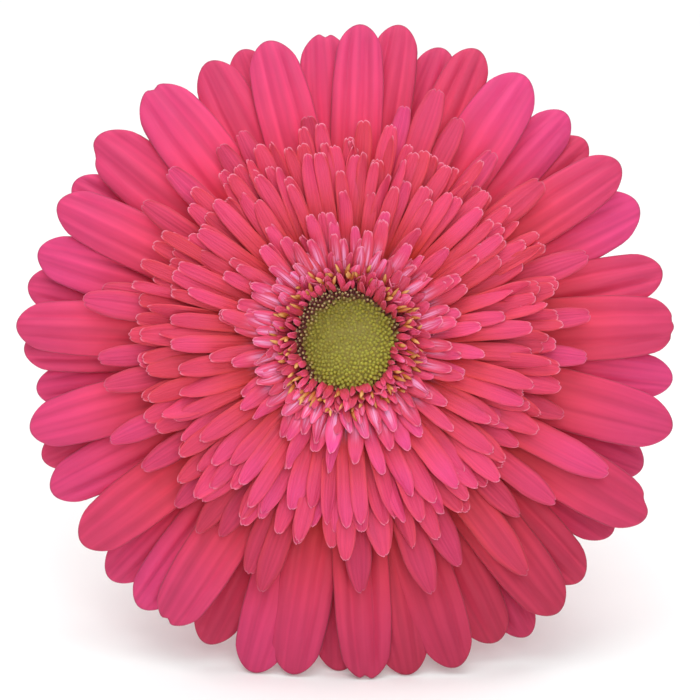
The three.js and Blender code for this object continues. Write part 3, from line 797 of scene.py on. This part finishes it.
class Value:
    """A number or colour that changes over a surface. Numbers add, subtract and multiply with
    each other and with plain ones."""

    def __init__(self, tree, socket):
        self.tree, self.socket = tree, socket

    def maths(self, operation, other=0.0):
        return add_node(self.tree, "ShaderNodeMath", {0: self, 1: other}, operation=operation)

    def __add__(self, other):
        return self.maths("ADD", other)

    def __sub__(self, other):
        return self.maths("SUBTRACT", other)

    def __mul__(self, other):
        return self.maths("MULTIPLY", other)

    def step(self, low, high, out_low=0.0, out_high=1.0):
        """A smooth step from out_low, where this value is low, to out_high, where it is high."""
        inputs = {0: self, 1: low, 2: high, 3: out_low, 4: out_high}
        return add_node(self.tree, "ShaderNodeMapRange", inputs, interpolation_type="SMOOTHSTEP")

    def between(self, first, second):
        """The first colour where this value is 0, and the second where it is 1."""
        return mix_colour(self.tree, self, first, second, "MIX")

    def shading(self, colour, shade):
        """The colour, multiplied by a shade as far as this value says."""
        return mix_colour(self.tree, self, colour, shade, "MULTIPLY")


def feed(tree, socket, value):
    """Links a socket to a value that changes over the surface, or sets it to a plain one."""
    if isinstance(value, Value):
        tree.links.new(value.socket, socket)
    else:
        socket.default_value = value


def new_node(tree, kind, inputs, **settings):
    """A node of this kind. Its inputs go by name or number, its settings by name."""
    node = tree.nodes.new(kind)
    for name, setting in settings.items():
        setattr(node, name, setting)
    for key, value in inputs.items():
        feed(tree, node.inputs[key], value)
    return node


def add_node(tree, kind, inputs, output=0, **settings):
    """Adds a node and gives back one of its outputs."""
    return Value(tree, new_node(tree, kind, inputs, **settings).outputs[output])


def mix_colour(tree, share, first, second, blend):
    """The second colour laid over the first, as far as the share says."""
    inputs = {0: share, 6: first, 7: second}
    return add_node(tree, "ShaderNodeMix", inputs, 2, data_type="RGBA", blend_type=blend)


def tinted(colour, factor):
    """The colour made brighter or darker by a factor that is about one."""
    grey = add_node(factor.tree, "ShaderNodeCombineColor", {0: factor, 1: factor, 2: factor})
    return mix_colour(factor.tree, 1.0, colour, grey, "MULTIPLY")


def noise(tree, place, scale, detail):
    """Soft noise between 0 and 1."""
    return add_node(tree, "ShaderNodeTexNoise", {"Vector": place, "Scale": scale, "Detail": detail})


def place_on_piece(tree):
    """Where a point lies, in metres of the row frame."""
    return add_node(tree, "ShaderNodeTexCoord", {}, "Object")


def mapped(tree, place, scale):
    """A place, scaled along each axis."""
    return add_node(tree, "ShaderNodeMapping", {"Vector": place, "Scale": scale})


def marks_of(tree, *names):
    """The values that a piece's mesh holds at each point under these names."""
    return [add_node(tree, "ShaderNodeAttribute", {}, "Fac", attribute_name=name) for name in names]


def new_material(name):
    """A material and its node tree."""
    material = bpy.data.materials.new(name)
    material.use_nodes = True
    return material, material.node_tree


def dress(material, relief=None, strength=0.4, depth=0.1, **inputs):
    """Sets or links the sockets of the material's own shader, and gives the material back. The
    relief is at most `depth` millimetres deep."""
    tree = material.node_tree
    shader = tree.nodes["Principled BSDF"]
    if relief is not None:
        bump = {"Height": relief, "Strength": strength, "Distance": depth * MM}
        inputs["Normal"] = add_node(tree, "ShaderNodeBump", bump)
    for name, value in inputs.items():
        feed(tree, shader.inputs[name.replace("_", " ")], value)
    return material


def new_group(name, inputs, outputs):
    """A node group that takes and gives numbers: the group, what it takes, where it gives."""
    group = bpy.data.node_groups.new(name, "ShaderNodeTree")
    for label, default in inputs.items():
        socket = group.interface.new_socket(label, in_out="INPUT", socket_type="NodeSocketFloat")
        socket.default_value = default
    for label in outputs:
        group.interface.new_socket(label, in_out="OUTPUT", socket_type="NodeSocketFloat")
    given = group.nodes.new("NodeGroupInput").outputs
    result = group.nodes.new("NodeGroupOutput").inputs
    return group, [Value(group, given[label]) for label in inputs], result


def use_group(tree, group, **inputs):
    """Places a node group in a material and gives back its outputs."""
    node = new_node(tree, "ShaderNodeGroup", inputs, node_tree=group)
    return [Value(tree, socket) for socket in node.outputs]


def petal_veins_group():
    """Fine veins that run the length of a petal and wander a little, and broad soft streaks."""
    defaults = {"Along": 0.0, "Across": 0.0, "Tone": 0.5, "Count": 14.0, "Wander": 0.6}
    group, given, result = new_group("petal veins", defaults, ("Vein", "Height", "Streak"))
    along, across, tone, count, wander = given
    inputs = {"X": along * 3.0, "Y": across * 1.6, "Z": tone * 37.0}
    place = add_node(group, "ShaderNodeCombineXYZ", inputs)
    drift = (noise(group, place, 1.7, 2.0) - 0.5) * wander
    wave = ((across + drift) * count * pi).maths("COSINE")
    feed(group, result["Vein"], wave.step(0.2, 1.0))
    feed(group, result["Height"], wave)
    feed(group, result["Streak"], noise(group, mapped(group, place, (0.35, 2.2, 1.0)), 1.0, 1.0))
    return group


def mottle_group():
    """A factor of about one that varies softly over a surface."""
    defaults = {"Scale": 300.0, "Strength": 0.1}
    group, (scale, strength), result = new_group("soft mottle", defaults, ["Factor"])
    uneven = noise(group, place_on_piece(group), scale, 3.0) - 0.5
    feed(group, result["Factor"], uneven * strength + 1.0)
    return group


PETAL_VEINS = petal_veins_group()
MOTTLE = mottle_group()


def mottled(tree, scale, strength):
    """The soft mottle, as a material uses it."""
    return use_group(tree, MOTTLE, Scale=scale, Strength=strength)[0]


HOT_PINK = (0.71, 0.056, 0.073, 1)
# Red of the petals' roots and ligules' edges, painted brighter than the pink as painted light that
# fills the shade between the petals
ROOT_RED_AND_PAINTED_LIGHT = (0.96, 0.084, 0.030, 1)
MAGENTA = (0.76, 0.065, 0.205, 1)
PALE_RIM = (0.84, 0.27, 0.39, 1)
LILAC_WHITE = (0.84, 0.37, 0.62, 1)
THROAT_RED = (0.26, 0.02, 0.025, 1)
BACK_PINK = (0.84, 0.15, 0.25, 1)
BACK_PALE = (0.86, 0.33, 0.34, 1)
# Shades that these pinks are multiplied by
RAY_SHADE = (0.94, 0.89, 0.95, 1)
RAY_TIP_SHADE = (0.81, 0.83, 0.96, 1)
LOW_RAY_PAINTED_SHADE = (0.72, 0.62, 0.50, 1)  # painted shade: the lowest rays made darker, most of all their tips
TOP_RAY_PAINTED_LIGHT = (1.15, 1.12, 1.50, 1)  # painted light: the inner half of the topmost rays made brighter, where the ligules' tips shade them
LIGULE_SHADE = (0.89, 0.88, 0.85, 1)
LOW_LIGULE_PAINTED_LIGHT = (1.10, 1.20, 1.52, 1)  # painted light: the lowest ligules made brighter and bluer
INNER_SHADE = (1.02, 1.09, 1.10, 1)  # the ligules near the eye and the lips


def petal_material():
    """Pink petals: redder towards the root, and there painted brighter as painted light in the shade
    between them, more magenta at the tip, with fine veins, a pale rim, a lilac streak at the foot
    of the innermost ones and a paler back."""
    material, tree = new_material("gerbera petal")
    marks = marks_of(tree, *PETAL_MARKS)
    along, across, edge, to_tip, from_root, under, tone, inner, lower = marks
    from_middle = across.maths("ABSOLUTE")
    ray = inner.step(0.12, 0.0)
    not_lip = inner.step(1.0, 0.92)
    inside = ray.maths("MAXIMUM", from_middle.step(1.0, 0.5, 0.75, 1.0))
    # Redder towards the root and a little towards a ligule's edges; this red is also painted light,
    # brighter than the pink
    colour = (along.step(0.15, 0.6) * inside).between(ROOT_RED_AND_PAINTED_LIGHT, HOT_PINK)
    outer_part = along.step(0.4, 0.9).maths("MAXIMUM", inner.step(0.4, 0.8, 0.0, 0.75))
    outer_ligule = inner.step(0.1, 0.25) * inner.step(0.7, 0.4)
    magenta = outer_part * (tone * 0.5 + 0.45) * inside * (outer_ligule * -0.3 + 1.0)
    colour = magenta.between(colour, MAGENTA)

    # How rays and ligules differ, and the painted shade and painted light that change them from the top
    # of the bloom to the bottom
    colour = ray.shading(colour, along.step(0.6, 1.0).between(RAY_SHADE, RAY_TIP_SHADE))
    downward, upward = lower.maths("MAXIMUM"), lower.maths("MINIMUM")
    lowest, topmost = downward * downward, upward * upward
    # Painted light: the inner half of the topmost rays made brighter, where the ligules' tips shade
    # them
    colour = (topmost * ray * along.step(0.85, 0.5)).shading(colour, TOP_RAY_PAINTED_LIGHT)
    # Painted shade: the lowest rays made darker, most of all at their tips
    low_ray_shade = lowest * inner.step(0.2, 0.0) * along.step(0.5, 1.0, 0.58, 1.0)
    colour = low_ray_shade.shading(colour, LOW_RAY_PAINTED_SHADE)
    is_ligule = inner.step(0.0, 0.1) * not_lip
    colour = is_ligule.shading(colour, LIGULE_SHADE)
    # Painted light: the lowest ligules made brighter and bluer
    colour = (lowest * inner.step(0.2, 0.4) * is_ligule).shading(colour, LOW_LIGULE_PAINTED_LIGHT)
    colour = inner.step(0.6, 0.75).shading(colour, INNER_SHADE)

    # Veins, streaks, the darker rim of a ray, mottling, and each petal's own shade
    given = dict(Along=along, Across=across, Tone=tone, Count=7.0, Wander=0.3)
    vein, ridges, streaks = use_group(tree, PETAL_VEINS, **given)
    shade = vein * -0.035 + 1.0
    shade *= (streaks - 0.5) * inner.step(0.0, 0.12, 0.6, 0.3) + 1.0
    shade *= edge.step(0.45, 0.1) * inner.step(0.12, 0.0, 0.0, -0.2) + 1.0
    shade *= mottled(tree, 220.0, 0.12)
    shade *= (tone - 0.5) * inner.step(0.92, 1.0, 0.12, 0.4) + 1.0
    colour = tinted(colour, shade)

    lilac = from_root.step(1.5, 3.5) * from_root.step(8.5, 4.5) * inner.step(0.4, 0.6)
    lilac *= not_lip.maths("MAXIMUM", tone.step(0.5, 0.65, 0.1, 1.0))
    lilac *= from_middle.step(0.8, 0.1) * streaks.step(0.4, 0.6, 0.15, 0.85)
    colour = lilac.between(colour, LILAC_WHITE)
    rim = edge.step(0.3, 0.05) * to_tip.step(1.3, 0.3)
    rim *= inner.step(0.0, 0.12, 0.0, 0.7) * inner.step(1.0, 0.92, 0.3, 1.0)
    colour = rim.between(colour, PALE_RIM)
    throat = inner.step(0.92, 1.0) * along.step(0.55, 0.1, 0.0, 0.6)
    colour = throat.between(colour, THROAT_RED)
    back = along.step(0.55, 0.1, 0.0, 0.75).between(BACK_PINK, BACK_PALE)
    back = tinted(back, vein * -0.14 + 1.04)
    return dress(
        material, relief=ridges * under.step(0.45, 1.0, 0.25, 1.0), strength=0.5,
        depth=0.12, Base_Color=under.step(0.45, 1.0, 0.0, 0.8).between(colour, back),
        Roughness=vein * 0.08 + 0.56, Specular_IOR_Level=0.16, Subsurface_Weight=0.2,
        Subsurface_Radius=(1.0, 0.4, 0.4), Subsurface_Scale=1.2 * MM, Sheen_Weight=0.05,
        Sheen_Roughness=0.4,
    )


def bud_material():
    """Closed disc buds: green in the middle of the eye, and towards its edge dark red below
    with a beige tip."""
    material, tree = new_material("disc bud")
    top, age, tone = marks_of(tree, "top", "age", "tone")
    green = tone.between((0.165, 0.12, 0.014, 1), (0.41, 0.40, 0.055, 1))
    green = top.step(0.2, 0.8).between((0.24, 0.19, 0.02, 1), green)
    ripe = top.step(0.7, 1.0).between((0.11, 0.018, 0.016, 1), (0.56, 0.45, 0.22, 1))
    return dress(
        material, relief=mottled(tree, 2500.0, 0.5),
        strength=0.3, Base_Color=age.step(0.82, 0.96).between(green, ripe), Roughness=0.5,
        Specular_IOR_Level=0.3, Subsurface_Weight=0.5, Subsurface_Radius=(1.0, 0.9, 0.3),
        Subsurface_Scale=0.8 * MM,
    )


def flesh_material(name, dark, light):
    """Plain plant flesh with soft mottling, for what little of it shows."""
    material, tree = new_material(name)
    mottle = mottled(tree, 900.0, 0.8)
    colour = mottle.step(0.85, 1.15).between(dark, light)
    return dress(material, relief=mottle, depth=0.2, Base_Color=colour, Roughness=0.6)


def anther_material():
    """Anther columns: dark red at the foot, orange brown above it, with a golden tip."""
    material, tree = new_material("anther")
    along, tone = marks_of(tree, "along", "tone")
    colour = along.step(0.2, 0.5).between((0.22, 0.025, 0.02, 1), (0.47, 0.11, 0.015, 1))
    tip = tone.between((0.50, 0.16, 0.03, 1), (0.80, 0.44, 0.15, 1))
    colour = along.step(0.55, 0.85).between(colour, tip)
    pollen = mottled(tree, 3000.0, 0.8)
    return dress(material, relief=pollen, Base_Color=colour, Roughness=0.6)


def bract_material():
    """Green bracts with a paler margin, fine veins and a reddish tip."""
    material, tree = new_material("bract")
    along, across, edge, tone = marks_of(tree, "along", "across", "edge", "tone")
    colour = along.step(0.0, 0.9).between((0.09, 0.18, 0.035, 1), (0.18, 0.28, 0.06, 1))
    given = dict(Along=along, Across=across, Tone=tone, Count=6.0, Wander=0.2)
    vein, ridges, _ = use_group(tree, PETAL_VEINS, **given)
    mottle = mottled(tree, 700.0, 0.5)
    colour = tinted(colour, (vein * 0.2 + 0.9) * mottle)
    colour = edge.step(0.5, 0.1, 0.0, 0.75).between(colour, (0.38, 0.42, 0.17, 1))
    colour = along.step(0.8, 0.97, 0.0, 0.85).between(colour, (0.33, 0.08, 0.07, 1))
    return dress(material, relief=ridges, Base_Color=colour, Roughness=0.55)


def stem_material():
    """Green skin with lengthwise streaks, and a pale wet face at the cut."""
    material, tree = new_material("stem skin")
    along, core, groove, cut = marks_of(tree, "along", "core", "groove", "cut")
    place = place_on_piece(tree)
    streaks = noise(tree, mapped(tree, place, (1500.0, 60.0, 1500.0)), 1.0, 3.0)
    colour = streaks.step(0.3, 0.7).between((0.16, 0.23, 0.045, 1), (0.33, 0.40, 0.11, 1))
    colour = groove.step(0.3, 1.0, 0.0, 0.4).between(colour, (0.10, 0.17, 0.03, 1))
    colour = along.step(0.25, 0.0, 0.0, 0.45).between(colour, (0.30, 0.26, 0.08, 1))
    colour = along.step(0.7, 1.0, 0.0, 0.4).between(colour, (0.42, 0.36, 0.16, 1))
    bundles = add_node(tree, "ShaderNodeTexVoronoi", {"Vector": place, "Scale": 1400.0}, "Distance")
    flesh = bundles.step(0.1, 0.4).between((0.30, 0.42, 0.14, 1), (0.62, 0.68, 0.36, 1))
    flesh = core.step(0.45, 0.25).between(flesh, (0.55, 0.55, 0.36, 1))
    return dress(
        material, relief=streaks, strength=0.35, Base_Color=cut.between(colour, flesh),
        Roughness=0.45, Subsurface_Weight=0.15, Subsurface_Radius=(0.5, 1.0, 0.3),
        Subsurface_Scale=1.0 * MM,
    )


def hair_material():
    """Fine pale hairs, some of them greener."""
    material, tree = new_material("hair")
    [tone] = marks_of(tree, "tone")
    colour = tone.between((0.45, 0.50, 0.25, 1), (0.72, 0.72, 0.52, 1))
    return dress(material, Base_Color=colour, Roughness=0.5)


# Table, light and camera

TABLE_REACH, TABLE_WHITE = 4.0, (0.93, 0.93, 0.93, 1)
# Lights on the bloom: name, degrees up and to the right of the bloom's own direction, distance
# and size in metres, power
FACE_LIGHTS = [("key", 58, -24, 1.3, 1.3, 10.4), ("front", 10, 8, 0.9, 0.5, 2.9)]
# The light behind the bloom: how far back the spot under it is, its place over the spot
BEHIND = dict(back=0.5, over=(0, 0.2, 1.6), size=1.6, power=10.5)
ROOM_LIGHT = 0.43


def make_table():
    """A plain pale table under the flower."""
    material, tree = new_material("table")
    mottle = mottled(tree, 12.0, 0.03)
    dress(material, Base_Color=tinted(TABLE_WHITE, mottle), Roughness=0.7)
    mesh = bpy.data.meshes.new("table")
    far = TABLE_REACH
    corners = [(-far, -far, 0), (far, -far, 0), (far, far, 0), (-far, far, 0)]
    mesh.from_pydata(corners, [], [(0, 1, 2, 3)])
    mesh.materials.append(material)
    new_object("table", mesh)


def add_light(name, place, target, size, power):
    """A round soft light at a place, turned to a target."""
    light = bpy.data.lights.new(name, "AREA")
    light.shape = "DISK"
    light.size = size
    light.energy = power
    lamp = new_object(name, light)
    lamp.location = place
    lamp.rotation_euler = (target - place).to_track_quat("-Z", "Y").to_euler()


def make_lights():
    """One broad soft light high above the bloom and a little to its left, a weak one from the
    front, one over the table behind the bloom, and a pale room."""
    for name, up, right, far, size, power in FACE_LIGHTS:
        rise, swing = radians(FACE_TILT + up), radians(right)
        way = Vector((sin(swing) * cos(rise), -cos(swing) * cos(rise), sin(rise)))
        add_light(name, HEAD + far * way, HEAD, size, power)
    spot = Vector((0, HEAD[1] + BEHIND["back"], 0))
    add_light("behind", spot + Vector(BEHIND["over"]), spot, BEHIND["size"], BEHIND["power"])
    world = bpy.data.worlds.new("room")
    world.use_nodes = True
    room = world.node_tree.nodes["Background"].inputs
    room["Color"].default_value = (1, 1, 1, 1)
    room["Strength"].default_value = ROOM_LIGHT
    bpy.context.scene.world = world
    bpy.context.scene.view_settings.view_transform = "Standard"


# The photograph is 700 pixels wide, 0.175 mm each at the petals, with the eye at (347, 341)
PHOTO_SIDE, PIXEL, EYE_AT = 700, 0.175 * MM, (347, 341)
# The camera stands this far in front of the head's middle, and that scale holds a little
# behind it, in metres
CAMERA_DISTANCE, PETAL_DEPTH = 0.6, 0.004
SENSOR = 36


def make_camera():
    """Looks straight at the bloom, along its axis, framed as in the photograph."""
    right, up, out = (HEAD_MATRIX.to_3x3() @ Vector(v) for v in ((1, 0, 0), (0, 1, 0), (0, 0, 1)))
    middle = PHOTO_SIDE / 2
    aim = HEAD + right * (middle - EYE_AT[0]) * PIXEL + up * (EYE_AT[1] - middle) * PIXEL
    camera = bpy.data.cameras.new("camera")
    camera.sensor_width = SENSOR
    camera.lens = SENSOR * (CAMERA_DISTANCE + PETAL_DEPTH) / (PHOTO_SIDE * PIXEL)
    eye = new_object("camera", camera)
    eye.matrix_world = Matrix.Translation(aim + out * CAMERA_DISTANCE) @ HEAD_MATRIX.to_3x3().to_4x4()
    bpy.context.scene.camera = eye


make_camera()
pink, eye_green = petal_material(), bud_material()
make_rays(pink)
make_ligules(pink)
make_eye(eye_green)
make_dark_buds(eye_green)
make_lips(pink)
make_anthers(anther_material())
make_curls(pink)
# The head's own flesh, which the florets stand on
red_flesh = flesh_material("receptacle flesh", (0.28, 0.05, 0.06, 1), (0.42, 0.12, 0.10, 1))
make_turned("receptacle", FLESH_PROFILE, red_flesh, "inner_ligules")
down = hair_material()
cup_flesh = flesh_material("cup flesh", (0.11, 0.20, 0.04, 1), (0.20, 0.30, 0.08, 1))
make_involucre(bract_material(), cup_flesh, down)
make_stem(stem_material(), down)
make_table()
make_lights()
